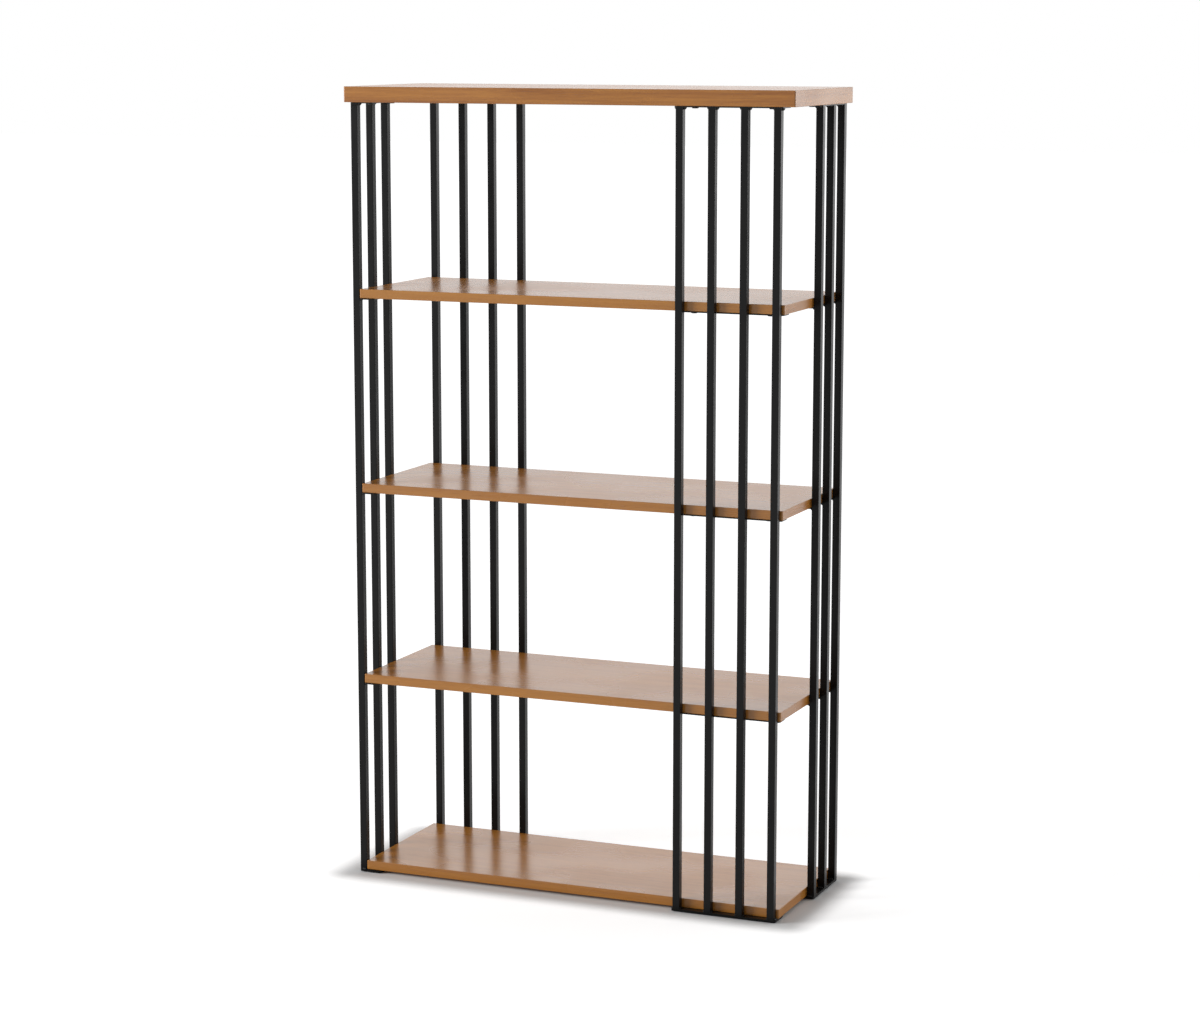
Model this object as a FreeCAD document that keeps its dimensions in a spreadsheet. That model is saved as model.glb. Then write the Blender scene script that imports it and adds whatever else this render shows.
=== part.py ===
import FreeCAD, Part
import os
import Sketcher
from FreeCAD import Placement, Rotation, Vector

# Open shelf unit: five boards carried by four welded screens of square posts.
# Millimetres, +Z up, front at -Y, origin on the floor under the middle of the unit.

# Posts in each long screen and in each short one
FRONT_POSTS = 4
SIDE_POSTS = 3

# Sizes that can be set one by one
SIZES = {
    "shelf_length": 782,
    "shelf_depth": 274,
    "shelf_thickness": 16,
    "top_thickness": 27,
    "top_overhang": 6,
    "board_corner": 2.5,
    "board_edge": 1,
    "bay_height": 324,
    "top_bay_height": 320,
    "post_size": 12.7,
    "post_wall": 1.2,
    "post_corner": 1,
    "bore_corner": 0.4,
    "post_gap": 44.3,
    "post_clearance": 0.5,
    "front_inset": 5,
    "side_inset": 1,
    "bar_width": 30,
    "bar_thickness": 2,
    "base_thickness": 4,
    "bar_overrun": 3.2,
    "bar_corner": 5,
    "screw_inset": 18,
    "screw_cover": 5,
    "shank_diameter": 4.8,
    "head_diameter": 11.5,
    "head_height": 2.4,
    "head_land": 0.8,
    "sunk_diameter": 9,
    "sunk_angle": 90,
    "screw_clearance": 0.2,
    "pilot_margin": 1,
    "pad_diameter": 18,
    "pad_thickness": 1.5,
    "pad_inset": 8,
}

# Places and sizes that follow from the sizes above
LAYOUT = {
    "post_pitch": "=sizes.post_size + sizes.post_gap",
    "front_face": "=sizes.shelf_depth / 2 + sizes.post_clearance",
    "side_face": "=sizes.shelf_length / 2 + sizes.post_clearance",
    "front_span": f"={FRONT_POSTS - 1} * post_pitch",
    "side_span": f"={SIDE_POSTS - 1} * post_pitch",
    "front_center": "=sizes.shelf_length / 2 - sizes.front_inset - (sizes.post_size + front_span) / 2",
    "side_center": "=sizes.shelf_depth / 2 - sizes.side_inset - (sizes.post_size + side_span) / 2",
    "top_length": "=2 * (side_face + sizes.post_size + sizes.top_overhang)",
    "top_depth": "=2 * (front_face + sizes.post_size)",
    "hole_diameter": "=sizes.shank_diameter + 2 * sizes.screw_clearance",
    "screw_grip": "=sizes.shelf_thickness - sizes.screw_cover",
    "pilot_depth": "=screw_grip + sizes.pilot_margin",
    "sunk_height": "=(sizes.sunk_diameter - sizes.shank_diameter) / 2 / tan(sizes.sunk_angle / 2)",
    "shelf_pitch": "=sizes.bay_height + sizes.bar_thickness + sizes.shelf_thickness",
    "bottom_z": "=sizes.pad_thickness + sizes.base_thickness",
    "lower_z": "=bottom_z + shelf_pitch",
    "middle_z": "=lower_z + shelf_pitch",
    "upper_z": "=middle_z + shelf_pitch",
    "post_top_z": "=upper_z + sizes.shelf_thickness + sizes.top_bay_height",
    "top_z": "=post_top_z + sizes.bar_thickness",
}

# Screens, each a quarter turn on from the one before: number of posts, and the kind of side they run along
SCREENS = {
    "front": (FRONT_POSTS, "front"),
    "right": (SIDE_POSTS, "side"),
    "back": (FRONT_POSTS, "front"),
    "left": (SIDE_POSTS, "side"),
}

# Boards and the level that each one lies at; its bars and screws take the level's name
BOARDS = {
    "top_board": "top",
    "upper_shelf": "upper",
    "middle_shelf": "middle",
    "lower_shelf": "lower",
    "bottom_shelf": "bottom",
}

TURN_AXIS = Vector(0, 0, 1)

doc = FreeCAD.newDocument("shelf_unit")


def add_sheet(name, cells):
    """Make a spreadsheet with one named cell for each entry."""
    sheet = doc.addObject("Spreadsheet::Sheet", name)
    for row, (alias, content) in enumerate(cells.items(), start=1):
        sheet.set(f"A{row}", alias)
        sheet.setAlias(f"B{row}", alias)
        sheet.set(f"B{row}", str(content))
    doc.recompute()
    return sheet


def add_body(name):
    """Start a sub-part that may hold several separate solids of one kind."""
    body = doc.addObject("PartDesign::Body", name)
    body.Label = name
    body.AllowCompound = True
    return body


def origin_feature(body, role):
    """Find one of a body's own origin planes or axes."""
    return next(item for item in body.Origin.OriginFeatures if item.Role == role)


def bind(item, **expressions):
    """Tie properties of an object to expressions."""
    for name, expression in expressions.items():
        item.setExpression(name, expression)


def bind_base(item, placement, **expressions):
    """Tie the coordinates of an object's placement to expressions."""
    for axis, expression in expressions.items():
        item.setExpression(f"{placement}.Base.{axis}", expression)


def add_sketch(body, name):
    """Start a sketch on the body's horizontal plane."""
    sketch = body.newObject("Sketcher::SketchObject", f"{body.Name}_{name}")
    sketch.AttachmentSupport = [(origin_feature(body, "XY_Plane"), "")]
    sketch.MapMode = "FlatFace"
    return sketch


def constrain(sketch, expression, kind, *geometry):
    """Add a driving constraint that follows an expression."""
    index = sketch.addConstraint(Sketcher.Constraint(kind, *geometry, 1.0))
    sketch.setExpression(f"Constraints[{index}]", expression)


def draw_rectangle(sketch, length, depth, on_axis=False):
    """Draw a rectangle about the origin, or with its first long side on the sketch's X axis."""
    corners = [Vector(-1, 0, 0), Vector(1, 0, 0), Vector(1, 1, 0), Vector(-1, 1, 0)]
    first = sketch.GeometryCount
    for side in range(4):
        sketch.addGeometry(Part.LineSegment(corners[side], corners[(side + 1) % 4]))
    for side in range(4):
        neighbour = first + (side + 1) % 4
        sketch.addConstraint(Sketcher.Constraint("Coincident", first + side, 2, neighbour, 1))
        direction = "Vertical" if side % 2 else "Horizontal"
        sketch.addConstraint(Sketcher.Constraint(direction, first + side))
    far_end = (first, 2) if on_axis else (first + 2, 1)
    sketch.addConstraint(Sketcher.Constraint("Symmetric", first, 1, *far_end, -1, 1))
    constrain(sketch, length, "DistanceX", first, 1, first, 2)
    constrain(sketch, depth, "DistanceY", first + 1, 1, first + 1, 2)


def draw_circle_pair(sketch, span, depth, diameter):
    """Draw two equal circles, a span apart along X and evenly about the Y axis."""
    first = sketch.GeometryCount
    for place in (-1, 1):
        sketch.addGeometry(Part.Circle(Vector(place, 1, 0), TURN_AXIS, 0.5))
    sketch.addConstraint(Sketcher.Constraint("Symmetric", first, 3, first + 1, 3, -2))
    sketch.addConstraint(Sketcher.Constraint("Equal", first, first + 1))
    constrain(sketch, span, "DistanceX", first, 3, first + 1, 3)
    constrain(sketch, depth, "DistanceY", -1, 1, first, 3)
    constrain(sketch, diameter, "Diameter", first)


def add_pad(body, sketch, length, down=False):
    """Raise a sketch, upwards or downwards, by a length."""
    pad = body.newObject("PartDesign::Pad", f"{sketch.Name}_pad")
    pad.Profile = sketch
    pad.Reversed = down
    bind(pad, Length=length)
    doc.recompute()
    return pad


def add_pocket(body, sketch, depth):
    """Cut a sketch upwards into the body and make sure that it removed something."""
    before = body.Shape.Volume
    pocket = body.newObject("PartDesign::Pocket", f"{sketch.Name}_pocket")
    pocket.Profile = sketch
    pocket.Reversed = True
    bind(pocket, Length=depth)
    doc.recompute()
    if not body.Shape.Volume < before:
        raise RuntimeError(f"{pocket.Name} cut nothing")
    return pocket


def add_fillet(body, chosen, radius):
    """Round the edges of the body's last feature that a test picks out."""
    base = body.Tip
    names = [f"Edge{i}" for i, edge in enumerate(base.Shape.Edges, start=1) if chosen(edge)]
    fillet = body.newObject("PartDesign::Fillet", f"{base.Name}_fillet")
    fillet.Base = (base, names)
    bind(fillet, Radius=radius)
    doc.recompute()
    return fillet


def add_half_turn(body, features):
    """Repeat features half a turn about the unit's vertical axis."""
    pattern = body.newObject("PartDesign::PolarPattern", f"{body.Name}_half_turn")
    pattern.Originals = features
    pattern.Axis = (origin_feature(body, "Z_Axis"), [""])
    pattern.Angle = 360
    pattern.Occurrences = 2
    body.Tip = pattern
    doc.recompute()
    return pattern


def is_upright(edge):
    """Tell whether an edge is a vertical line."""
    return abs(edge.tangentAt(edge.FirstParameter).z) > 0.999


def is_head_rim(edge):
    """Tell whether an edge is the lower rim of a domed screw head."""
    return edge.CenterOfMass.z < -sizes.head_height / 2 and not is_upright(edge)


def reach(edge):
    """Give how far an edge's middle lies from the body's own vertical axis, along X or Y."""
    return max(abs(edge.CenterOfMass.x), abs(edge.CenterOfMass.y))


def screen_place(screen, along, inward):
    """Turn a place in a screen, along it and in from its posts' inner faces, into X and Y."""
    side = SCREENS[screen][1]
    center = f"(layout.{side}_center + {along})"
    face = f"(layout.{side}_face - {inward})"
    return {
        "front": (center, f"-{face}"),
        "right": (face, center),
        "back": (f"-{center}", face),
        "left": (f"-{face}", f"-{center}"),
    }[screen]


def screen_turn(screen):
    """Give a placement that turns about the vertical from the front to a screen."""
    return Placement(Vector(), Rotation(TURN_AXIS, 90 * list(SCREENS).index(screen)))


def stand_in_screen(item, screen, along, inward, height):
    """Place a body in a screen, turned to face the unit's middle."""
    item.Placement = screen_turn(screen)
    x, y = screen_place(screen, along, inward)
    bind_base(item, "Placement", x=x, y=y, z=height)


def post_span(screen):
    """Give the distance between the middles of a screen's end posts."""
    return f"layout.{SCREENS[screen][1]}_span"


def screw_span(screen):
    """Give the distance between the two screws of a screen's bar."""
    return f"{post_span(screen)} - 2 * sizes.screw_inset"


def add_screen_sketch(body, name, screen):
    """Start a sketch whose origin lies in a screen, on its posts' inner faces."""
    sketch = add_sketch(body, f"{screen}_{name}")
    sketch.AttachmentOffset = screen_turn(screen)
    x, y = screen_place(screen, "0", "0")
    bind_base(sketch, "AttachmentOffset", x=x, y=y)
    return sketch


def make_board(name, level):
    """Make a board with eased edges and a pilot hole for each screw."""
    top = level == "top"
    body = add_body(name)
    outline = add_sketch(body, "outline")
    draw_rectangle(
        outline,
        "layout.top_length" if top else "sizes.shelf_length",
        "layout.top_depth" if top else "sizes.shelf_depth",
    )
    add_pad(body, outline, "sizes.top_thickness" if top else "sizes.shelf_thickness")
    add_fillet(body, is_upright, "sizes.board_corner")
    add_fillet(body, lambda edge: not is_upright(edge), "sizes.board_edge")
    pockets = []
    for screen in ("front", "right"):
        holes = add_screen_sketch(body, "pilots", screen)
        draw_circle_pair(holes, screw_span(screen), "sizes.bar_width / 2", "layout.hole_diameter")
        pockets.append(add_pocket(body, holes, "layout.pilot_depth"))
    add_half_turn(body, pockets)
    bind_base(body, "Placement", z=f"layout.{level}_z")
    return body


def make_post(screen, number):
    """Make a square tube with rounded corners, standing on its screen's base bar."""
    body = add_body(f"{screen}_post_{number}")
    section = add_sketch(body, "section")
    draw_rectangle(section, "sizes.post_size", "sizes.post_size")
    bore = "sizes.post_size - 2 * sizes.post_wall"
    draw_rectangle(section, bore, bore)
    add_pad(body, section, "layout.post_top_z - layout.bottom_z")
    middle_of_wall = (sizes.post_size - sizes.post_wall) / 2

    def is_outer(edge):
        return is_upright(edge) and reach(edge) > middle_of_wall

    def is_inner(edge):
        return is_upright(edge) and reach(edge) < middle_of_wall

    add_fillet(body, is_outer, "sizes.post_corner")
    add_fillet(body, is_inner, "sizes.bore_corner")
    steps = number - (SCREENS[screen][0] + 1) / 2
    stand_in_screen(body, screen, f"{steps} * layout.post_pitch", "-sizes.post_size / 2", "layout.bottom_z")
    return body


def make_bar(screen, level):
    """Make a flat bar with round corners and two screw holes; those at the ends also carry the posts."""
    carries_posts = level in ("top", "bottom")
    thickness = "sizes.base_thickness" if level == "bottom" else "sizes.bar_thickness"
    outer = "sizes.post_size" if carries_posts else "0"
    body = add_body(f"{screen}_{'base' if level == 'bottom' else level}_bar")
    outline = add_sketch(body, "outline")
    length = f"{post_span(screen)} + sizes.post_size + 2 * sizes.bar_overrun"
    draw_rectangle(outline, length, f"{outer} + sizes.bar_width", on_axis=True)
    add_pad(body, outline, thickness)
    add_fillet(body, is_upright, "sizes.bar_corner")
    holes = add_sketch(body, "holes")
    draw_circle_pair(holes, screw_span(screen), f"{outer} + sizes.bar_width / 2", "layout.hole_diameter")
    if level == "bottom":
        add_sunk_holes(body, holes)
    else:
        add_pocket(body, holes, thickness)
    stand_in_screen(body, screen, "0", f"-{outer}", f"layout.{level}_z - {thickness}")
    return body


def add_sunk_holes(body, sketch):
    """Drill holes through the body, countersunk on its underside."""
    before = body.Shape.Volume
    hole = body.newObject("PartDesign::Hole", f"{sketch.Name}_sunk")
    hole.Profile = sketch
    hole.Reversed = True
    hole.DepthType = "ThroughAll"
    hole.ThreadType = "None"
    hole.HoleCutType = "Countersink"
    hole.HoleCutCustomValues = True
    bind(
        hole,
        Diameter="layout.hole_diameter",
        HoleCutDiameter="sizes.sunk_diameter + 2 * sizes.screw_clearance",
        HoleCutCountersinkAngle="sizes.sunk_angle",
    )
    doc.recompute()
    if not body.Shape.Volume < before:
        raise RuntimeError(f"{hole.Name} cut nothing")
    return hole


def make_screws(level):
    """Make the eight screws that hold one board to its four bars."""
    sunk = level == "bottom"
    body = add_body(f"{level}_screws")
    thickness = "sizes.base_thickness" if sunk else "sizes.bar_thickness"
    pads = []
    for screen in ("front", "right"):
        shanks = add_screen_sketch(body, "shanks", screen)
        draw_circle_pair(shanks, screw_span(screen), "sizes.bar_width / 2", "sizes.shank_diameter")
        pads.append(add_pad(body, shanks, f"{thickness} + layout.screw_grip"))
        heads = add_screen_sketch(body, "heads", screen)
        width = "sizes.sunk_diameter" if sunk else "sizes.head_diameter"
        draw_circle_pair(heads, screw_span(screen), "sizes.bar_width / 2", width)
        if sunk:
            pads.append(add_pad(body, heads, "layout.sunk_height"))
            bind(pads[-1], TaperAngle="-sizes.sunk_angle / 2")
        else:
            pads.append(add_pad(body, heads, "sizes.head_height", down=True))
    add_half_turn(body, pads)
    if not sunk:
        add_fillet(body, is_head_rim, "sizes.head_height - sizes.head_land")
    bind_base(body, "Placement", z=f"layout.{level}_z - {thickness}")
    return body


def make_floor_pads():
    """Make the round pads under the ends of the base bars."""
    body = add_body("floor_pads")
    pads = []
    for screen in ("front", "right"):
        discs = add_screen_sketch(body, "discs", screen)
        draw_circle_pair(discs, post_span(screen), "sizes.pad_inset", "sizes.pad_diameter")
        pads.append(add_pad(body, discs, "sizes.pad_thickness"))
    add_half_turn(body, pads)
    return body


def check_and_write(bodies):
    """Stop on any failed object or bad shape, then write each sub-part to its own file."""
    doc.recompute()
    for item in doc.Objects:
        if {"Invalid", "Error"} & set(item.State):
            raise RuntimeError(f"{item.Name} failed: {item.State}")
    for body in bodies:
        if body.Shape.isNull() or not body.Shape.isValid():
            raise RuntimeError(f"{body.Label} has no valid shape")
    os.makedirs("parts", exist_ok=True)
    for body in bodies:
        body.Shape.exportStep(f"parts/{body.Label}.step")
        print(f"{body.Label}: {len(body.Shape.Solids)} solids, {body.Shape.Volume:.0f} mm3")


sizes = add_sheet("sizes", SIZES)
add_sheet("layout", LAYOUT)

parts = [make_board(name, level) for name, level in BOARDS.items()]
for screen, (count, _) in SCREENS.items():
    parts += [make_post(screen, number) for number in range(1, count + 1)]
    parts += [make_bar(screen, level) for level in BOARDS.values()]
parts += [make_screws(level) for level in BOARDS.values()]
parts.append(make_floor_pads())
check_and_write(parts)
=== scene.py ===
"""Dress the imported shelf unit: oak boards, black post screens, welds, screws and floor pads."""

import logging
import math
from collections.abc import Mapping, Sequence
from dataclasses import dataclass
from enum import Enum
from functools import partial

import bmesh
import bpy
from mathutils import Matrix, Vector


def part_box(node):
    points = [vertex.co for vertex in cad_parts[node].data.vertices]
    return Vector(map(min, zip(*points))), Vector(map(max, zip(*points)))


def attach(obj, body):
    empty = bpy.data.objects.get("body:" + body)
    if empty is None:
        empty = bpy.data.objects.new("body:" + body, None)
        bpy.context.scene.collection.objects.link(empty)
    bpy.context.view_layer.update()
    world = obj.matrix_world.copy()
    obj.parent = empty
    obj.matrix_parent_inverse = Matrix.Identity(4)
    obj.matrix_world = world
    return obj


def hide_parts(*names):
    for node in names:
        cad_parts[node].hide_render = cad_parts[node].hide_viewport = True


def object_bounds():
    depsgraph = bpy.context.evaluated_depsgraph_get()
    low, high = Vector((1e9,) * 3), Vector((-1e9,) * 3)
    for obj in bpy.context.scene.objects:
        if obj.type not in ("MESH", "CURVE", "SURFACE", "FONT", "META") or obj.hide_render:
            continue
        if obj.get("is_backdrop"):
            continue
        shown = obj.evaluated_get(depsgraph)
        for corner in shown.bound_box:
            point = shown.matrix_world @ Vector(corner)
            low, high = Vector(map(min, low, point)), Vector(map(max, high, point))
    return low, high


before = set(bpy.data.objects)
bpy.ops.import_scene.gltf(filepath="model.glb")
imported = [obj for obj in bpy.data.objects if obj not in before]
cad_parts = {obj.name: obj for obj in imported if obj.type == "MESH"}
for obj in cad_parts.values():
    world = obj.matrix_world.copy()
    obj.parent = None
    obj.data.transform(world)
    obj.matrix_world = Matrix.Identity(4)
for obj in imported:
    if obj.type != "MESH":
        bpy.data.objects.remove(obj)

BODY = "root"
UP = Vector((0.0, 0.0, 1.0))
RIGHT_ANGLE = math.pi / 2
SIXTH_TURN = math.pi / 3
SHARP_ANGLE = math.radians(40)
NOISE_MEAN = 0.5

Color = tuple[float, float, float]
Triple = tuple[float, float, float]
Span = tuple[float, float]
Corners = tuple[Vector, Vector]
Station = tuple[Vector, Vector]
Mesh = bmesh.types.BMesh
Ring = list[bmesh.types.BMVert]
Material = bpy.types.Material
Socket = bpy.types.NodeSocket
Feed = float | Sequence[float] | Socket

log = logging.getLogger("shelf_unit")


class Screen(Enum):
    """The four screens of posts, each with the direction from the unit's middle out to it."""

    FRONT = (0, -1)
    RIGHT = (1, 0)
    BACK = (0, 1)
    LEFT = (-1, 0)

    @property
    def word(self) -> str:
        """The screen's word in the names of its nodes."""
        return self.name.lower()

    @property
    def outward(self) -> Vector:
        """The direction from the unit's middle out to the screen."""
        return Vector((*self.value, 0.0))

    @property
    def along(self) -> Vector:
        """The direction in which the screen's posts follow each other."""
        return UP.cross(self.outward)


class Level(Enum):
    """The five levels of boards, named as their screws are; the value names the level's bars."""

    TOP = "top"
    UPPER = "upper"
    MIDDLE = "middle"
    LOWER = "lower"
    BOTTOM = "base"

    @property
    def word(self) -> str:
        """The level's word in the name of its screws."""
        return self.name.lower()

    @property
    def board(self) -> str:
        """The node of the level's board."""
        return "top_board" if self is Level.TOP else f"{self.word}_shelf"

    def bar(self, screen: Screen) -> str:
        """The node of the level's bar in a screen."""
        return f"{screen.word}_{self.value}_bar"


SHELF_LEVELS = (Level.UPPER, Level.MIDDLE, Level.LOWER)


class Slot(Enum):
    """Names of the record's material slots for the added pieces; nothing in the script uses them."""

    COAT = "black_powder_coat"
    SCREW = "black_screw"
    FELT = "felt_pad"


class SocketKind(Enum):
    """What an effect's input or output carries."""

    NUMBER = "NodeSocketFloat"
    COLOR = "NodeSocketColor"


class MixKind(Enum):
    """What a Mix node blends: its data type and the numbers of its two inputs and its output."""

    VECTOR = ("VECTOR", 4, 5, 1)
    COLOR = ("RGBA", 6, 7, 2)


@dataclass(frozen=True)
class Noise:
    """A noise pattern: cycles per metre along X, Y and Z, and octaves of finer noise."""

    stretch: Triple
    octaves: float


def opaque(color: Color) -> tuple[float, float, float, float]:
    """Give a colour full opacity, as a colour socket takes it."""
    return (*color, 1.0)


def titles(values: Mapping[str, Feed]) -> dict[str, Feed]:
    """Spell keywords as the titles of sockets, with a space for each _."""
    return {word.replace("_", " "): value for word, value in values.items()}


class Graph:
    """Lays out the nodes of one shader tree."""

    def __init__(self, tree: bpy.types.NodeTree) -> None:
        """Take a tree and empty it."""
        self.tree = tree
        tree.nodes.clear()

    def node(
        self, kind: str, inputs: Mapping[str | int, Feed] | None = None, **settings: object
    ) -> bpy.types.Node:
        """Add a node.

        Args:
            kind: The node's type, without its ShaderNode prefix.
            inputs: Values or sockets for the node's inputs, by name or number.
            settings: The node's own properties.

        Returns:
            The node.
        """
        made = self.tree.nodes.new(kind if kind.startswith("Node") else f"ShaderNode{kind}")
        for name, value in settings.items():
            setattr(made, name, value)
        for key, value in (inputs or {}).items():
            if isinstance(value, Socket):
                self.tree.links.new(value, made.inputs[key])
            else:
                made.inputs[key].default_value = value
        return made

    def number(self, operation: str, *values: Feed) -> Socket:
        """Work out a number from one, two or three others."""
        return self.node("Math", dict(enumerate(values)), operation=operation).outputs[0]

    def vector(self, operation: str, *values: Feed) -> Socket:
        """Work out a vector from one, two or three others."""
        return self.node("VectorMath", dict(enumerate(values)), operation=operation).outputs["Vector"]

    def measure(self, operation: str, *values: Feed) -> Socket:
        """Work out a number from one or two vectors."""
        return self.node("VectorMath", dict(enumerate(values)), operation=operation).outputs["Value"]

    def mix(self, factor: Feed, first: Feed, second: Feed, kind: MixKind = MixKind.COLOR) -> Socket:
        """Blend two colours or vectors.

        Args:
            factor: Share of the second one.
            first: What shows at 0.
            second: What shows at 1.
            kind: Whether they are colours or vectors.

        Returns:
            Socket of the blend.
        """
        data_type, one, two, blend = kind.value
        return self.node("Mix", {0: factor, one: first, two: second}, data_type=data_type).outputs[blend]

    def place(self) -> Socket:
        """Give the place on the piece, in metres in the unit's frame."""
        return self.node("TexCoord").outputs["Object"]

    def noise(self, place: Socket, pattern: Noise) -> Socket:
        """Sample a noise pattern.

        Args:
            place: Socket of the coordinates, in metres.
            pattern: The pattern.

        Returns:
            Socket of the noise, about 0.5 on average.
        """
        scaled = self.vector("MULTIPLY", place, pattern.stretch)
        inputs = {"Vector": scaled, "Scale": 1.0, "Detail": pattern.octaves}
        return self.node("TexNoise", inputs).outputs["Fac"]

    def clouds(self, scale: Feed, octaves: float) -> Socket:
        """Sample noise that is alike in all directions.

        Args:
            scale: Cycles per metre.
            octaves: Octaves of finer noise.

        Returns:
            Socket of the noise, about 0.5 on average.
        """
        inputs = {"Vector": self.place(), "Scale": scale, "Detail": octaves}
        return self.node("TexNoise", inputs).outputs["Fac"]

    def fit(self, value: Feed, span: Span, onto: tuple[Feed, Feed] = (0.0, 1.0)) -> Socket:
        """Map a range smoothly onto another one.

        Args:
            value: Socket to map.
            span: Start and end of its range.
            onto: Start and end of the new range.

        Returns:
            Socket of the mapped value.
        """
        inputs = {
            "Value": value, "From Min": span[0], "From Max": span[1],
            "To Min": onto[0], "To Max": onto[1],
        }
        return self.node("MapRange", inputs, interpolation_type="SMOOTHSTEP").outputs["Result"]

    def bump(self, height: Socket, depth: float, relief: float) -> Socket:
        """Turn a height into a normal; depth is in metres."""
        inputs = {"Height": height, "Distance": depth, "Strength": relief}
        return self.node("Bump", inputs).outputs["Normal"]


class Effect:
    """A shared surface effect: one node group with named inputs and outputs."""

    def __init__(
        self, name: str, inputs: Mapping[str, SocketKind], outputs: Mapping[str, SocketKind]
    ) -> None:
        """Make the group with its sockets and nothing between them.

        Args:
            name: Name of the group.
            inputs: What each input carries, by title.
            outputs: What each output carries, by title.
        """
        self.tree = bpy.data.node_groups.new(name, "ShaderNodeTree")
        for way, sockets in (("INPUT", inputs), ("OUTPUT", outputs)):
            for title, kind in sockets.items():
                self.tree.interface.new_socket(title, in_out=way, socket_type=kind.value)
        self.graph = Graph(self.tree)
        self.given = self.graph.node("NodeGroupInput").outputs

    def give(self, **results: Socket) -> None:
        """Link the group's outputs to what it has worked out."""
        self.graph.node("NodeGroupOutput", results)

    def use(self, graph: Graph, **values: Feed) -> bpy.types.bpy_prop_collection:
        """Put the effect into a material.

        Args:
            graph: The material's nodes.
            values: The effect's inputs, with _ for a space.

        Returns:
            The outputs of the group node.
        """
        return graph.node("Group", titles(values), node_tree=self.tree).outputs


@dataclass(frozen=True)
class VeneerFigure:
    """Veneer figure: growth rings, streaks, fibres and pores that run along each face."""

    end_facing: float = 0.7
    drift: Noise = Noise((1.3, 5.0, 5.0), 2.0)
    sway: Triple = (0.0, 0.05, 0.012)
    rings: Noise = Noise((0.7, 48.0, 48.0), 3.0)
    ring_share: float = 0.42
    streaks: Noise = Noise((6.0, 250.0, 250.0), 3.0)
    streak_share: float = 0.36
    fibres: Noise = Noise((16.0, 1000.0, 1000.0), 2.0)
    fibre_share: float = 0.14
    fibre_height: float = 0.35
    clouds: Noise = Noise((1.6, 4.0, 4.0), 2.0)
    cloud_share: float = 0.18
    tone_span: Span = (0.38, 0.72)
    pores: Noise = Noise((45.0, 950.0, 950.0), 1.0)
    pore_span: Span = (0.55, 0.69)
    ring_span: Span = (0.35, 0.65)
    pores_by_ring: Span = (0.25, 1.0)

    def run(self, graph: Graph) -> Socket:
        """Lay coordinates whose X follows the fibres on every face and sways a little.

        Args:
            graph: The group's nodes.

        Returns:
            Socket of the coordinates, in metres.
        """
        coordinates = graph.node("TexCoord").outputs
        place = graph.node("SeparateXYZ", {0: coordinates["Object"]}).outputs
        facing = graph.node("SeparateXYZ", {0: coordinates["Normal"]}).outputs
        at_end = graph.number("GREATER_THAN", graph.number("ABSOLUTE", facing["X"]), self.end_facing)
        turned = graph.node("CombineXYZ", {0: place["Y"], 1: place["X"], 2: place["Z"]}).outputs[0]
        run = graph.mix(at_end, coordinates["Object"], turned, MixKind.VECTOR)
        drift = graph.number("SUBTRACT", graph.noise(run, self.drift), NOISE_MEAN)
        return graph.vector("MULTIPLY_ADD", drift, self.sway, run)

    def make(self) -> Effect:
        """Build the node group.

        Returns:
            The effect: a colour, a mask of the pores and a height.
        """
        effect = Effect(
            "veneer_figure",
            {"Pale": SocketKind.COLOR, "Dark": SocketKind.COLOR, "Pore": SocketKind.COLOR,
             "Pore Strength": SocketKind.NUMBER},
            {"Color": SocketKind.COLOR, "Pores": SocketKind.NUMBER, "Height": SocketKind.NUMBER},
        )
        graph, given = effect.graph, effect.given
        run = self.run(graph)
        rings, fibres = graph.noise(run, self.rings), graph.noise(run, self.fibres)
        tone = graph.number("MULTIPLY", graph.noise(run, self.streaks), self.streak_share)
        tone = graph.number("MULTIPLY_ADD", rings, self.ring_share, tone)
        tone = graph.number("MULTIPLY_ADD", graph.noise(run, self.clouds), self.cloud_share, tone)
        tone = graph.number("MULTIPLY_ADD", fibres, self.fibre_share, tone)
        color = graph.mix(graph.fit(tone, self.tone_span), given["Pale"], given["Dark"])
        pores = graph.fit(graph.noise(run, self.pores), self.pore_span)
        pores = graph.number("MULTIPLY", pores, graph.fit(rings, self.ring_span, self.pores_by_ring))
        color = graph.mix(graph.number("MULTIPLY", pores, given["Pore Strength"]), color, given["Pore"])
        height = graph.number("SUBTRACT", graph.number("MULTIPLY", fibres, self.fibre_height), pores)
        effect.give(Color=color, Pores=pores, Height=height)
        return effect


@dataclass(frozen=True)
class Handling:
    """Soft cloudy changes of gloss, as left by wiping and handling."""

    octaves: float = 1.5
    span: Span = (0.3, 0.7)

    def make(self) -> Effect:
        """Build the node group.

        Returns:
            The effect: a roughness between two given ones.
        """
        effect = Effect(
            "handling",
            {"Scale": SocketKind.NUMBER, "Smooth": SocketKind.NUMBER, "Rough": SocketKind.NUMBER},
            {"Roughness": SocketKind.NUMBER},
        )
        graph, given = effect.graph, effect.given
        clouds = graph.clouds(given["Scale"], self.octaves)
        effect.give(Roughness=graph.fit(clouds, self.span, (given["Smooth"], given["Rough"])))
        return effect


@dataclass(frozen=True)
class EasedEdge:
    """A mask that rises towards the eased edges of a piece."""

    samples: int = 4
    span: Span = (0.99, 0.8)

    def make(self) -> Effect:
        """Build the node group.

        Returns:
            The effect: a mask, from how far the rounded normal turns away from the flat one.
        """
        effect = Effect("eased_edge", {"Radius": SocketKind.NUMBER}, {"Edge": SocketKind.NUMBER})
        graph, given = effect.graph, effect.given
        rounded = graph.node("Bevel", {"Radius": given["Radius"]}, samples=self.samples).outputs["Normal"]
        flat = graph.node("NewGeometry").outputs["Normal"]
        effect.give(Edge=graph.fit(graph.measure("DOT_PRODUCT", rounded, flat), self.span))
        return effect


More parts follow.
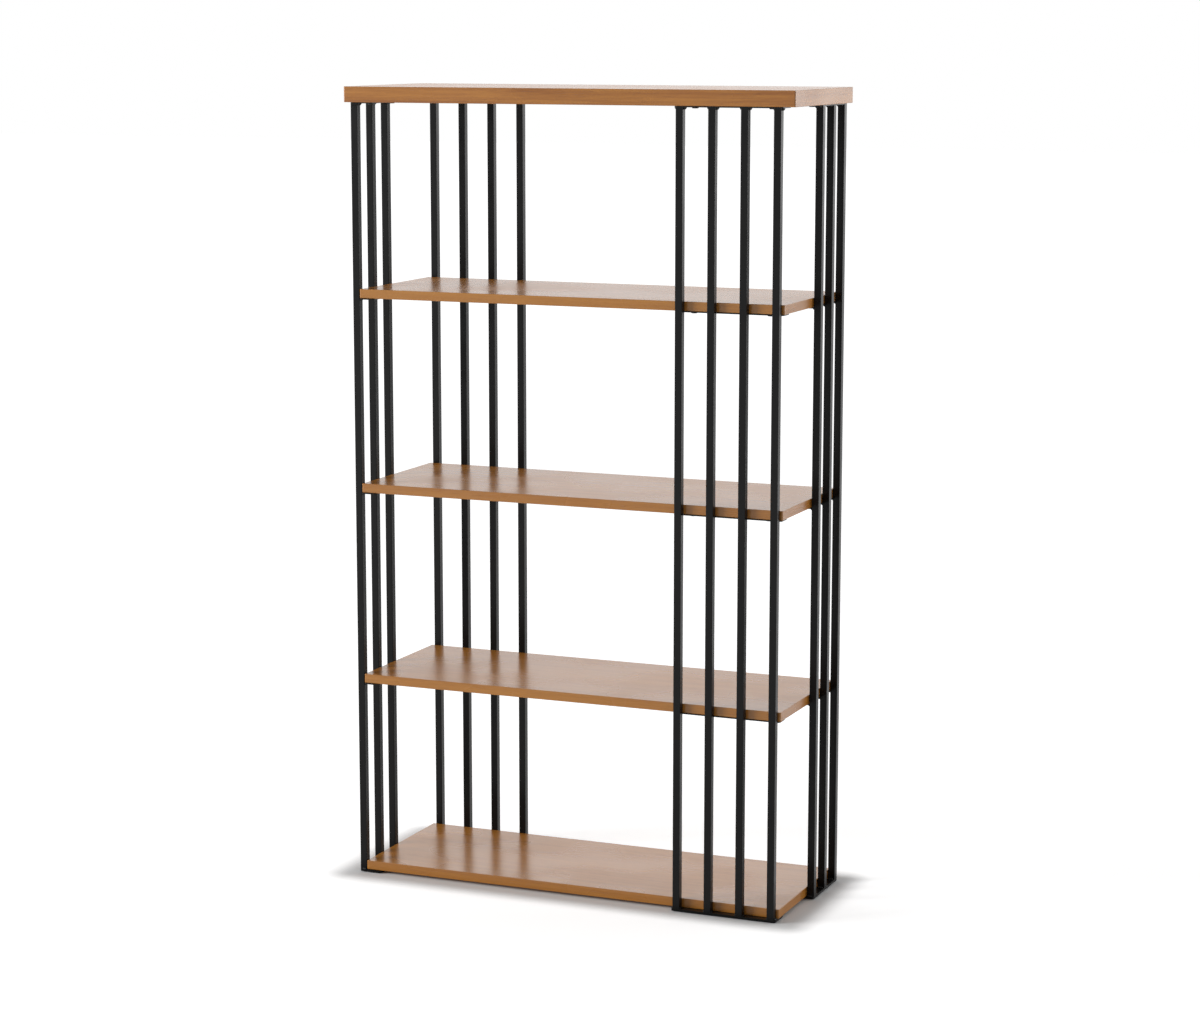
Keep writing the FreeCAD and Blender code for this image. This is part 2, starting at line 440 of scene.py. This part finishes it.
@dataclass(frozen=True)
class CoatPeel:
    """The fine pebbled skin of a sprayed coat."""

    octaves: float = 2.0
    finer: float = 3.7
    fleck_span: Span = (0.2, 0.7)

    def make(self) -> Effect:
        """Build the node group.

        Returns:
            The effect: a height and a mask of flecks.
        """
        effect = Effect(
            "coat_peel",
            {"Scale": SocketKind.NUMBER, "Grit": SocketKind.NUMBER},
            {"Height": SocketKind.NUMBER, "Fleck": SocketKind.NUMBER},
        )
        graph, given = effect.graph, effect.given
        waves = graph.clouds(given["Scale"], self.octaves)
        grains = {"Vector": graph.place(), "Scale": graph.number("MULTIPLY", given["Scale"], self.finer)}
        grit = graph.node("TexVoronoi", grains, feature="SMOOTH_F1").outputs["Distance"]
        height = graph.number("MULTIPLY_ADD", grit, given["Grit"], waves)
        effect.give(Height=height, Fleck=graph.fit(grit, self.fleck_span))
        return effect


class Effects:
    """The effects that several finishes share."""

    def __init__(self) -> None:
        """Build each group once."""
        self.figure = VeneerFigure().make()
        self.handling = Handling().make()
        self.eased_edge = EasedEdge().make()
        self.peel = CoatPeel().make()


@dataclass(frozen=True)
class Finish:
    """The base of a finish: a named material around one Principled shader."""

    name: str

    def start(self) -> tuple[Material, Graph]:
        """Make the material and an empty graph for it.

        Returns:
            The material and its graph.
        """
        material = bpy.data.materials.new(self.name)
        material.use_nodes = True
        return material, Graph(material.node_tree)

    @staticmethod
    def close(graph: Graph, **inputs: Feed) -> None:
        """End a graph with a Principled shader; its inputs have _ for a space."""
        shader = graph.node("BsdfPrincipled", titles(inputs)).outputs[0]
        graph.node("OutputMaterial", {"Surface": shader})


@dataclass(frozen=True)
class OakVeneer(Finish):
    """Oak veneer under a satin lacquer, with a painted highlight along its eased edges; lengths in
    metres.
    """

    pale: Color
    dark: Color
    pore: Color
    # edge is a painted highlight: a lighter tone that stands in for the sheen on the rounded arrises.
    edge: Color
    pore_strength: float = 0.55
    pore_depth: float = 0.000005
    pore_rough: float = 0.04
    relief: float = 0.15
    edge_radius: float = 0.0014
    edge_share: float = 0.35
    clouds: float = 7.0
    smooth: float = 0.22
    rough: float = 0.3
    ior: float = 1.52

    def make(self, effects: Effects) -> Material:
        """Build the material.

        Args:
            effects: The shared effects.

        Returns:
            The material.
        """
        material, graph = self.start()
        figure = effects.figure.use(
            graph, Pale=opaque(self.pale), Dark=opaque(self.dark), Pore=opaque(self.pore),
            Pore_Strength=self.pore_strength,
        )
        # Painted highlight: blend towards the lighter edge colour near the eased edges.
        edge = effects.eased_edge.use(graph, Radius=self.edge_radius)["Edge"]
        edge = graph.number("MULTIPLY", edge, self.edge_share)
        color = graph.mix(edge, figure["Color"], opaque(self.edge))
        gloss = effects.handling.use(graph, Scale=self.clouds, Smooth=self.smooth, Rough=self.rough)
        roughness = graph.number("MULTIPLY_ADD", figure["Pores"], self.pore_rough, gloss["Roughness"])
        normal = graph.bump(figure["Height"], self.pore_depth, self.relief)
        self.close(graph, Base_Color=color, Roughness=roughness, IOR=self.ior, Normal=normal)
        return material


@dataclass(frozen=True)
class PowderCoat(Finish):
    """Black paint baked onto steel, with a fine pebbled skin; lengths in metres."""

    deep: Color
    fleck: Color
    worn: Color
    scale: float
    grit: float
    depth: float
    smooth: float
    rough: float
    relief: float = 0.25
    edge_radius: float = 0.0012
    edge_share: float = 0.5
    edge_rough: float = -0.06
    clouds: float = 14.0
    ior: float = 1.26

    def make(self, effects: Effects) -> Material:
        """Build the material.

        Args:
            effects: The shared effects.

        Returns:
            The material.
        """
        material, graph = self.start()
        peel = effects.peel.use(graph, Scale=self.scale, Grit=self.grit)
        edge = effects.eased_edge.use(graph, Radius=self.edge_radius)["Edge"]
        color = graph.mix(peel["Fleck"], opaque(self.deep), opaque(self.fleck))
        color = graph.mix(graph.number("MULTIPLY", edge, self.edge_share), color, opaque(self.worn))
        gloss = effects.handling.use(graph, Scale=self.clouds, Smooth=self.smooth, Rough=self.rough)
        roughness = graph.number("MULTIPLY_ADD", edge, self.edge_rough, gloss["Roughness"])
        normal = graph.bump(peel["Height"], self.depth, self.relief)
        self.close(graph, Base_Color=color, Roughness=roughness, IOR=self.ior, Normal=normal)
        return material


@dataclass(frozen=True)
class BlackSteel(Finish):
    """Blackened screw steel, a little brighter on its edges; lengths in metres."""

    deep: Color
    bright: Color
    scale: float = 900.0
    grit: float = 0.2
    depth: float = 0.00004
    relief: float = 0.3
    fleck_share: float = 0.2
    edge_radius: float = 0.0004
    edge_share: float = 0.6
    clouds: float = 120.0
    smooth: float = 0.3
    rough: float = 0.48
    metallic: float = 0.85

    def make(self, effects: Effects) -> Material:
        """Build the material.

        Args:
            effects: The shared effects.

        Returns:
            The material.
        """
        material, graph = self.start()
        peel = effects.peel.use(graph, Scale=self.scale, Grit=self.grit)
        edge = effects.eased_edge.use(graph, Radius=self.edge_radius)["Edge"]
        edge = graph.number("MULTIPLY", edge, self.edge_share)
        worn = graph.number("MULTIPLY_ADD", peel["Fleck"], self.fleck_share, edge)
        color = graph.mix(worn, opaque(self.deep), opaque(self.bright))
        gloss = effects.handling.use(graph, Scale=self.clouds, Smooth=self.smooth, Rough=self.rough)
        normal = graph.bump(peel["Height"], self.depth, self.relief)
        self.close(
            graph, Base_Color=color, Metallic=self.metallic, Roughness=gloss["Roughness"], Normal=normal,
        )
        return material


@dataclass(frozen=True)
class Felt(Finish):
    """Pressed felt of mixed grey fibres; lengths in metres."""

    light: Color
    dark: Color
    one_way: Noise = Noise((300.0, 2600.0, 1500.0), 3.0)
    other_way: Noise = Noise((2600.0, 300.0, 1500.0), 3.0)
    fibre_span: Span = (0.4, 0.7)
    depth: float = 0.0003
    relief: float = 0.7
    clouds: float = 300.0
    smooth: float = 0.88
    rough: float = 1.0
    sheen: float = 0.3

    def make(self, effects: Effects) -> Material:
        """Build the material from crossing fibres.

        Args:
            effects: The shared effects.

        Returns:
            The material.
        """
        material, graph = self.start()
        place = graph.place()
        one_way, other_way = graph.noise(place, self.one_way), graph.noise(place, self.other_way)
        fibres = graph.number("MAXIMUM", one_way, other_way)
        color = graph.mix(graph.fit(fibres, self.fibre_span), opaque(self.dark), opaque(self.light))
        gloss = effects.handling.use(graph, Scale=self.clouds, Smooth=self.smooth, Rough=self.rough)
        normal = graph.bump(fibres, self.depth, self.relief)
        self.close(
            graph, Base_Color=color, Roughness=gloss["Roughness"], Normal=normal, Sheen_Weight=self.sheen,
        )
        return material


# The edge colours of both oaks are painted highlights along the eased edges.
TOP_OAK = OakVeneer(
    "top_oak", pale=(0.475, 0.193, 0.0305), dark=(0.29, 0.096, 0.0115), pore=(0.18, 0.057, 0.007),
    edge=(0.52, 0.23, 0.055),
)
SHELF_OAK = OakVeneer(
    "shelf_oak", pale=(0.45, 0.186, 0.0275), dark=(0.36, 0.136, 0.0175), pore=(0.26, 0.09, 0.0112),
    edge=(0.54, 0.245, 0.062), pore_strength=0.45,
)
POST_COAT = PowderCoat(
    "post_coat", deep=(0.002, 0.002, 0.0021), fleck=(0.0034, 0.0034, 0.0035), worn=(0.008, 0.008, 0.008),
    scale=650.0, grit=0.3, depth=0.00001, smooth=0.24, rough=0.32,
)
WELD_COAT = PowderCoat(
    "weld_coat", deep=(0.004, 0.004, 0.0041), fleck=(0.0065, 0.0065, 0.0066), worn=(0.01, 0.01, 0.01),
    scale=420.0, grit=0.5, depth=0.00004, smooth=0.3, rough=0.4,
)
SCREW_STEEL = BlackSteel("screw_steel", deep=(0.03, 0.03, 0.032), bright=(0.09, 0.09, 0.092))
PAD_FELT = Felt("pad_felt", light=(0.09, 0.088, 0.085), dark=(0.025, 0.024, 0.023))


def dress_node(node: str, material: Material) -> None:
    """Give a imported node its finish."""
    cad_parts[node].material_slots[0].material = material
    log.info("%s: %s", node, material.name)


def add_piece(name: str, mesh: Mesh, material: Material) -> bpy.types.Object:
    """Turn a built mesh into a piece that rides on the unit.

    Args:
        name: Name of the piece.
        mesh: The built mesh, in metres in the unit's frame; it is freed.
        material: Its finish.

    Returns:
        The piece.
    """
    bmesh.ops.recalc_face_normals(mesh, faces=mesh.faces)
    for face in mesh.faces:
        face.smooth = True
    data = bpy.data.meshes.new(name)
    mesh.to_mesh(data)
    mesh.free()
    data.materials.append(material)
    data.set_sharp_from_angle(angle=SHARP_ANGLE)
    piece = bpy.data.objects.new(name, data)
    bpy.context.scene.collection.objects.link(piece)
    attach(piece, BODY)
    log.info("%s: %d faces, %s", name, len(data.polygons), material.name)
    return piece


def join_rings(mesh: Mesh, rings: Sequence[Ring]) -> None:
    """Skin a row of closed rings and cap its two ends.

    Args:
        mesh: The mesh that holds the rings.
        rings: The rings in order, each with as many points as the next.
    """
    for one, two in zip(rings, rings[1:]):
        for i in range(len(one)):
            j = (i + 1) % len(one)
            mesh.faces.new((one[i], one[j], two[j], two[i]))
    mesh.faces.new(rings[0])
    mesh.faces.new(rings[-1])


def around(axis: Vector, turn: float, reach: float, rise: float) -> Vector:
    """Find a point by its turn about an upright axis, its distance from it and its rise."""
    return axis + Vector((reach * math.cos(turn), reach * math.sin(turn), rise))


def bar_spots(bar: str, screen: Screen, from_end: float, from_edge: float) -> list[Vector]:
    """Find the two places on a bar's underside that lie in from its ends and its inner edge.

    Args:
        bar: Node of the bar.
        screen: The screen that it belongs to.
        from_end: Distance from each end, in metres.
        from_edge: Distance from the edge nearest the unit's middle, in metres.

    Returns:
        The two places.
    """
    low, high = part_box(bar)
    middle, half = (low + high) / 2, (high - low) / 2
    reach = abs(half.dot(screen.along)) - from_end
    inward = from_edge - abs(half.dot(screen.outward))
    middle += screen.outward * inward
    middle.z = low.z
    return [middle - screen.along * reach, middle + screen.along * reach]


@dataclass(frozen=True)
class Bead:
    """A fillet weld laid in a corner between two pieces of steel, in metres."""

    leg_out: float
    leg_up: float
    hollow: float = 1.3
    start_size: float = 0.4
    run_in: float = 0.0016
    ripple: float = 0.0021
    ripple_share: float = 0.16
    sink: float = 0.0002
    step: float = 0.0005
    facets: int = 5

    def lay(self, mesh: Mesh, line: Sequence[Station], up: Vector) -> None:
        """Sweep the bead along a line of stations.

        Args:
            mesh: The mesh that it joins.
            line: Points along the corner, each with the direction straight out of the post there.
            up: The direction away from the bar, along the post.
        """
        length = sum((b[0] - a[0]).length for a, b in zip(line, line[1:]))
        rings, gone = [], 0.0
        for i, (point, out) in enumerate(line):
            gone += (point - line[i - 1][0]).length if i else 0.0
            size = min(1.0, self.start_size + min(gone, length - gone) / self.run_in)
            size *= 1.0 - self.ripple_share * (0.5 + 0.5 * math.cos(math.tau * gone / self.ripple))
            ring = [mesh.verts.new(point - out * self.sink - up * self.sink)]
            for k in range(self.facets + 1):
                turn = RIGHT_ANGLE * k / self.facets
                out_share, up_share = math.cos(turn) ** self.hollow, math.sin(turn) ** self.hollow
                reach = self.leg_out * size * out_share - self.sink * (k == self.facets)
                rise = self.leg_up * size * up_share - self.sink * (k == 0)
                ring.append(mesh.verts.new(point + out * reach + up * rise))
            rings.append(ring)
        join_rings(mesh, rings)

    def straight(self, start: Vector, end: Vector, out: Vector) -> list[Station]:
        """Lay stations along a straight corner."""
        count = max(2, round((end - start).length / self.step))
        return [(start.lerp(end, i / count), out) for i in range(count + 1)]

    def bend(self, center: Vector, first: Vector, second: Vector, radius: float) -> list[Station]:
        """Lay stations round a post's rounded corner, without its two ends.

        Args:
            center: Middle of the rounding.
            first: The direction straight out of the post where the corner starts.
            second: That direction where it ends.
            radius: Radius of the rounding, in metres.

        Returns:
            The stations.
        """
        count = max(2, round(RIGHT_ANGLE * radius / self.step))
        turns = [RIGHT_ANGLE * i / count for i in range(1, count)]
        outs = [first * math.cos(turn) + second * math.sin(turn) for turn in turns]
        return [(center + out * radius, out) for out in outs]


@dataclass
class Boards:
    """The five oak boards."""

    top: OakVeneer = TOP_OAK
    shelf: OakVeneer = SHELF_OAK

    def dress(self, effects: Effects) -> None:
        """Veneer the boards.

        Args:
            effects: The shared effects.
        """
        top, shelf = self.top.make(effects), self.shelf.make(effects)
        for level in Level:
            dress_node(level.board, top if level is Level.TOP else shelf)


@dataclass
class PostScreen:
    """One screen: its posts, its bars and the welds between them, in metres."""

    screen: Screen
    corner: float = 0.001
    lead_in: float = 0.0028
    top_bead: Bead = Bead(leg_out=0.003, leg_up=0.004)
    base_bead: Bead = Bead(leg_out=0.0022, leg_up=0.0024)
    shelf_bead: Bead = Bead(leg_out=0.0026, leg_up=0.0026)

    def posts(self) -> list[str]:
        """List the nodes of the screen's posts."""
        return sorted(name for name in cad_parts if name.startswith(f"{self.screen.word}_post_"))

    def dress(self, coat: Material) -> None:
        """Coat the posts and bars."""
        for node in [*self.posts(), *(level.bar(self.screen) for level in Level)]:
            dress_node(node, coat)

    def weld(self, coat: Material) -> None:
        """Lay the welds at the top, at the shelves and at the base.

        Args:
            coat: Finish of the welds.
        """
        seams = {"top": self.weld_top, "shelf": self.weld_shelves, "base": self.weld_base}
        for place, lay in seams.items():
            mesh = bmesh.new()
            for post in self.posts():
                low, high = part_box(post)
                lay(mesh, (low + high) / 2, (high.x - low.x) / 2)
            add_piece(f"{self.screen.word}_{place}_welds", mesh, coat)

    def at(self, middle: Vector, height: float, out: float, along: float) -> Vector:
        """Find a point near a post.

        Args:
            middle: Middle of the post.
            height: Height of the point above the floor.
            out: How far it lies from the middle, out of the unit.
            along: How far it lies from the middle, along the screen.

        Returns:
            The point.
        """
        point = middle + self.screen.outward * out + self.screen.along * along
        point.z = height
        return point

    def weld_top(self, mesh: Mesh, middle: Vector, half: float) -> None:
        """Lay a bead round the three inner sides of a post, under the top bar.

        Args:
            mesh: The mesh that it joins.
            middle: Middle of the post.
            half: Half the post's width.
        """
        at = partial(self.at, middle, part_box(Level.TOP.bar(self.screen))[0].z)
        bead, flat, start = self.top_bead, half - self.corner, half - self.lead_in
        out, along = self.screen.outward, self.screen.along
        line = bead.straight(at(start, -half), at(-flat, -half), -along)
        line += bead.bend(at(-flat, -flat), -along, -out, self.corner)
        line += bead.straight(at(-half, -flat), at(-half, flat), -out)
        line += bead.bend(at(-flat, flat), -out, along, self.corner)
        line += bead.straight(at(-flat, half), at(start, half), along)
        bead.lay(mesh, line, -UP)

    def weld_base(self, mesh: Mesh, middle: Vector, half: float) -> None:
        """Lay a bead on each flank of a post, on top of the base bar.

        Args:
            mesh: The mesh that it joins.
            middle: Middle of the post.
            half: Half the post's width.
        """
        at = partial(self.at, middle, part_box(Level.BOTTOM.bar(self.screen))[1].z)
        bead, start, end = self.base_bead, half - self.lead_in, self.corner - half
        for side in (-1, 1):
            line = bead.straight(at(start, side * half), at(end, side * half), self.screen.along * side)
            bead.lay(mesh, line, UP)

    def weld_shelves(self, mesh: Mesh, middle: Vector, half: float) -> None:
        """Lay a bead on the inner face of a post, under each shelf bar.

        Args:
            mesh: The mesh that it joins.
            middle: Middle of the post.
            half: Half the post's width.
        """
        bead, flat = self.shelf_bead, half - self.corner
        for level in SHELF_LEVELS:
            at = partial(self.at, middle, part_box(level.bar(self.screen))[0].z)
            line = bead.straight(at(-half, -flat), at(-half, flat), -self.screen.outward)
            bead.lay(mesh, line, -UP)


@dataclass
class ScrewSet:
    """The eight screws of one board, with hexagon sockets, in metres."""

    level: Level
    from_end: float = 0.02755
    from_edge: float = 0.015
    bar: float = 0.002
    base_bar: float = 0.004
    grip: float = 0.011
    shank: float = 0.0024
    tip_share: float = 0.35
    point: float = 0.0022
    point_share: float = 0.9
    shoulder: float = 0.003
    head: float = 0.00575
    head_height: float = 0.0024
    land: float = 0.0008
    dome_steps: int = 6
    sunk_head: float = 0.0045
    sunk_rim: float = 0.0002
    sunk_ease: float = 0.0003
    neck: float = 0.0008
    socket: float = 0.0016
    socket_mouth: float = 1.45
    socket_lip: float = 0.0002
    socket_depth: float = 0.0015
    pit_share: float = 0.3
    pit_depth: float = 0.0004
    sides: int = 36

    def ring(self, mesh: Mesh, spot: Vector, reach: float, rise: float, hexagon: bool = False) -> Ring:
        """Make a ring of points about a screw's axis.

        Args:
            mesh: The mesh that it joins.
            spot: Where the axis meets the underside of the bar.
            reach: Radius, or half the width across a hexagon's flats.
            rise: Height above that underside.
            hexagon: Whether the ring is a hexagon.

        Returns:
            The points of the ring.
        """
        points = []
        for i in range(self.sides):
            turn = math.tau * i / self.sides
            off_flat = turn % SIXTH_TURN - SIXTH_TURN / 2
            radius = reach / math.cos(off_flat) if hexagon else reach
            points.append(mesh.verts.new(around(spot, turn, radius, rise)))
        return points

    def sunk_profile(self) -> list[Span]:
        """Give radius and height from the neck of a countersunk head to the rim of its socket.

        Returns:
            The rows of the profile.
        """
        cone = self.sunk_head - self.shank
        return [
            (self.shank, cone + self.neck), (self.shank, cone), (self.sunk_head, self.sunk_rim),
            (self.sunk_head, 0.0), (self.sunk_head - self.sunk_ease, 0.0),
            (self.socket * self.socket_mouth, 0.0),
        ]

    def domed_profile(self) -> list[Span]:
        """Give radius and height from the neck of a domed head to the rim of its socket.

        Returns:
            The rows of the profile.
        """
        rows = [(self.shank, 0.0), (self.head, 0.0), (self.head, -self.land)]
        dome = self.head_height - self.land
        for i in range(1, self.dome_steps + 1):
            turn = RIGHT_ANGLE * i / self.dome_steps
            rows.append((self.head - dome * (1 - math.cos(turn)), -self.land - dome * math.sin(turn)))
        return [*rows, (self.socket * self.socket_mouth, -self.head_height)]

    def profile(self) -> list[Span]:
        """Give radius and height from the shank's tip to the rim of the socket.

        Returns:
            The rows of the profile.
        """
        sunk = self.level is Level.BOTTOM
        tip = self.grip + (self.base_bar if sunk else self.bar)
        rows = [(self.shank * self.tip_share, tip), (self.shank * self.point_share, tip - self.point)]
        if sunk:
            return rows + self.sunk_profile()
        return [*rows, (self.shank, tip - self.shoulder), *self.domed_profile()]

    def add_screw(self, mesh: Mesh, spot: Vector) -> None:
        """Add one screw.

        Args:
            mesh: The mesh that it joins.
            spot: Where its axis meets the underside of the bar.
        """
        rows = self.profile()
        face = rows[-1][1]
        bed = face + self.socket_depth
        rings = [self.ring(mesh, spot, reach, rise) for reach, rise in rows]
        rings.append(self.ring(mesh, spot, self.socket, face + self.socket_lip, hexagon=True))
        rings.append(self.ring(mesh, spot, self.socket, bed, hexagon=True))
        rings.append(self.ring(mesh, spot, self.socket * self.pit_share, bed + self.pit_depth))
        join_rings(mesh, rings)

    def build(self, steel: Material) -> None:
        """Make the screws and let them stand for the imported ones.

        Args:
            steel: Finish of the screws.
        """
        mesh = bmesh.new()
        for screen in Screen:
            for spot in bar_spots(self.level.bar(screen), screen, self.from_end, self.from_edge):
                self.add_screw(mesh, spot)
        piece = add_piece(f"{self.level.word}_socket_screws", mesh, steel)
        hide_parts(f"{self.level.word}_screws")


@dataclass
class FloorPads:
    """The round felt pads under the base bars, in metres."""

    from_end: float = 0.00955
    from_edge: float = 0.022
    radius: float = 0.009
    thickness: float = 0.0015
    round_over: float = 0.0006
    round_steps: int = 3
    core_share: float = 0.5
    brim_share: float = 0.99
    brim_drop: float = 0.3
    fuzz: float = 0.00012
    broad_waves: int = 7
    fine_waves: int = 17
    shift_by_x: float = 900.0
    shift_by_y: float = 700.0
    sides: int = 64

    def build(self, felt: Material) -> None:
        """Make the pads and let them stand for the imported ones.

        Args:
            felt: Finish of the pads.
        """
        mesh = bmesh.new()
        for screen in Screen:
            for spot in bar_spots(Level.BOTTOM.bar(screen), screen, self.from_end, self.from_edge):
                self.add_pad(mesh, spot)
        piece = add_piece("felt_floor_pads", mesh, felt)
        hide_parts("floor_pads")

    def profile(self) -> list[Span]:
        """Give radius and height from the middle of the upper face to that of the lower one.

        Returns:
            The rows of the profile.
        """
        inner = self.radius - self.round_over
        core = inner * self.core_share
        rows = [(core, 0.0), (self.radius * self.brim_share, 0.0)]
        rows.append((self.radius, -self.brim_drop * self.thickness))
        for i in range(self.round_steps + 1):
            turn = RIGHT_ANGLE * i / self.round_steps
            drop = self.thickness - self.round_over * (1 - math.sin(turn))
            rows.append((inner + self.round_over * math.cos(turn), -drop))
        return [*rows, (core, -self.thickness)]

    def stray(self, spot: Vector, turn: float) -> float:
        """Give how far the felt strays outward, on each pad in its own way.

        Args:
            spot: Middle of the pad's upper face.
            turn: Turn about the pad's axis.

        Returns:
            The distance, in metres.
        """
        broad = math.sin(self.broad_waves * turn + self.shift_by_x * spot.x)
        fine = math.sin(self.fine_waves * turn + self.shift_by_y * spot.y)
        return self.fuzz * (broad + fine) / 2

    def add_pad(self, mesh: Mesh, spot: Vector) -> None:
        """Add one pad, hanging from a spot on a bar's underside.

        Args:
            mesh: The mesh that it joins.
            spot: Middle of the pad's upper face.
        """
        turns = [math.tau * i / self.sides for i in range(self.sides)]
        rings = []
        for reach, rise in self.profile():
            inside = reach - self.fuzz
            points = [around(spot, turn, inside + self.stray(spot, turn), rise) for turn in turns]
            rings.append([mesh.verts.new(point) for point in points])
        join_rings(mesh, rings)


@dataclass(frozen=True)
class Softbox:
    """A soft lamp that points at the unit; places and sizes in metres, power in watts."""

    name: str
    place: Triple
    target: Triple
    width: float
    height: float
    power: float

    def hang(self) -> None:
        """Add the lamp to the scene."""
        lamp = bpy.data.lights.new(self.name, "AREA")
        lamp.shape = "RECTANGLE"
        lamp.size, lamp.size_y, lamp.energy = self.width, self.height, self.power
        holder = bpy.data.objects.new(self.name, lamp)
        holder.location = self.place
        aim = Vector(self.target) - Vector(self.place)
        holder.rotation_euler = aim.to_track_quat("-Z", "Y").to_euler()
        holder.visible_camera = False
        bpy.context.scene.collection.objects.link(holder)
        log.info("%s: %g W", self.name, self.power)


LAMPS = (
    Softbox(
        "key_softbox", place=(-6.7, -4.3, 2.75), target=(0.0, 0.0, 0.7),
        width=3.4, height=3.4, power=545.0,
    ),
    Softbox(
        "back_softbox", place=(-0.6, 2.6, 3.6), target=(0.0, 0.0, 0.7),
        width=3.0, height=1.6, power=24.0,
    ),
    Softbox(
        "rear_softbox", place=(-9.8, 23.0, 8.9), target=(0.0, 0.0, 0.6),
        width=14.6, height=3.2, power=185.0,
    ),
    Softbox(
        "right_softbox", place=(2.5, 5.0, 1.9), target=(0.3, 0.0, 1.2),
        width=2.6, height=2.0, power=20.0,
    ),
    Softbox(
        "side_softbox", place=(5.0, 2.9, 1.0), target=(0.4, 0.0, 0.7),
        width=2.4, height=2.0, power=112.0,
    ),
)


@dataclass
class Studio:
    """The pale floor, the white surroundings, the lamps and the camera; lengths in metres."""

    floor_reach: float = 30.0
    floor_color: Color = (0.78, 0.78, 0.78)
    floor_glow: float = 0.58
    glow_span: Span = (0.0, 0.06)
    far_glow: float = 0.3
    far_span: Span = (0.5, 9.0)
    white: Color = (1.0, 1.0, 1.0)
    shown_white: float = 1.0
    ambient: float = 0.3
    lamps: tuple[Softbox, ...] = LAMPS
    eye: Triple = (1.9912, -4.7381, 1.5034)
    heading: float = 0.39693
    tilt: float = 0.16254
    lens_mm: float = 89.228
    sensor_mm: float = 36.0
    view_end: float = 100.0

    def build(self, unit: Corners) -> None:
        """Build everything round the unit.

        Args:
            unit: Lowest and highest corner of the unit.
        """
        self.lay_floor(unit)
        self.light_world()
        for lamp in self.lamps:
            lamp.hang()
        self.set_camera()
        bpy.context.scene.view_settings.view_transform = "Standard"

    @staticmethod
    def shown_rays(graph: Graph) -> Socket:
        """Give 1 for what the camera sees directly, in a reflection or through something.

        Args:
            graph: The nodes of the floor or the world.

        Returns:
            Socket of the mask.
        """
        path = graph.node("LightPath").outputs
        shown = graph.number("MAXIMUM", path["Is Camera Ray"], path["Is Glossy Ray"])
        return graph.number("MAXIMUM", shown, path["Is Transmission Ray"])

    def make_floor(self, unit: Corners) -> Material:
        """Make the floor's finish: matte, pale by the unit, where its shadow lies, and white beyond.

        Args:
            unit: Lowest and highest corner of the unit.

        Returns:
            The material.
        """
        material = bpy.data.materials.new("studio_floor")
        material.use_nodes = True
        graph = Graph(material.node_tree)
        matte = graph.node("BsdfDiffuse", {"Color": opaque(self.floor_color)}).outputs[0]
        beyond = graph.vector("ABSOLUTE", graph.node("NewGeometry").outputs["Position"])
        beyond = graph.vector("SUBTRACT", beyond, (unit[1].x, unit[1].y, 0.0))
        away = graph.measure("LENGTH", graph.vector("MAXIMUM", beyond, (0.0, 0.0, 0.0)))
        near = graph.fit(away, self.glow_span, (0.0, self.floor_glow))
        far = graph.fit(away, self.far_span, (0.0, self.far_glow))
        whiter = graph.number("ADD", near, far)
        strength = graph.number("MULTIPLY", self.shown_rays(graph), whiter)
        glow = graph.node("Emission", {"Color": opaque(self.white), "Strength": strength}).outputs[0]
        both = graph.node("AddShader", {0: matte, 1: glow}).outputs[0]
        graph.node("OutputMaterial", {"Surface": both})
        return material

    def lay_floor(self, unit: Corners) -> None:
        """Lay the floor.

        Args:
            unit: Lowest and highest corner of the unit.
        """
        reach = self.floor_reach
        corners = [(-reach, -reach, 0), (reach, -reach, 0), (reach, reach, 0), (-reach, reach, 0)]
        data = bpy.data.meshes.new("studio_floor")
        data.from_pydata(corners, [], [(0, 1, 2, 3)])
        data.materials.append(self.make_floor(unit))
        floor = bpy.data.objects.new("studio_floor", data)
        bpy.context.scene.collection.objects.link(floor)
        floor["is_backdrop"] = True
        log.info("%s: %g m wide", floor.name, 2 * reach)

    def light_world(self) -> None:
        """Surround the unit with white, and light it at a plain level."""
        world = bpy.data.worlds.new("studio_world")
        world.use_nodes = True
        bpy.context.scene.world = world
        graph = Graph(world.node_tree)
        color = opaque(self.white)
        light = graph.node("Background", {"Color": color, "Strength": self.ambient}).outputs[0]
        white = graph.node("Background", {"Color": color, "Strength": self.shown_white}).outputs[0]
        mixed = graph.node("MixShader", {0: self.shown_rays(graph), 1: light, 2: white}).outputs[0]
        graph.node("OutputWorld", {"Surface": mixed})

    def set_camera(self) -> None:
        """Set the camera where the photograph was taken from, aimed at the unit."""
        data = bpy.data.cameras.new("camera")
        data.sensor_width, data.lens, data.clip_end = self.sensor_mm, self.lens_mm, self.view_end
        camera = bpy.data.objects.new("camera", data)
        camera.location = self.eye
        camera.rotation_euler = (RIGHT_ANGLE - self.tilt, 0.0, self.heading)
        bpy.context.scene.collection.objects.link(camera)
        bpy.context.scene.camera = camera


def main() -> None:
    """Build and dress the unit, piece by piece, and set up its studio."""
    logging.basicConfig(level=logging.INFO, format="%(name)s: %(message)s")
    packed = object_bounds()
    effects = Effects()
    Boards().dress(effects)
    coat, weld = POST_COAT.make(effects), WELD_COAT.make(effects)
    for screen in Screen:
        post_screen = PostScreen(screen)
        post_screen.dress(coat)
        post_screen.weld(weld)
    steel = SCREW_STEEL.make(effects)
    for level in Level:
        ScrewSet(level).build(steel)
    FloorPads().build(PAD_FELT.make(effects))
    Studio().build(packed)


if __name__ == "__main__":
    main()
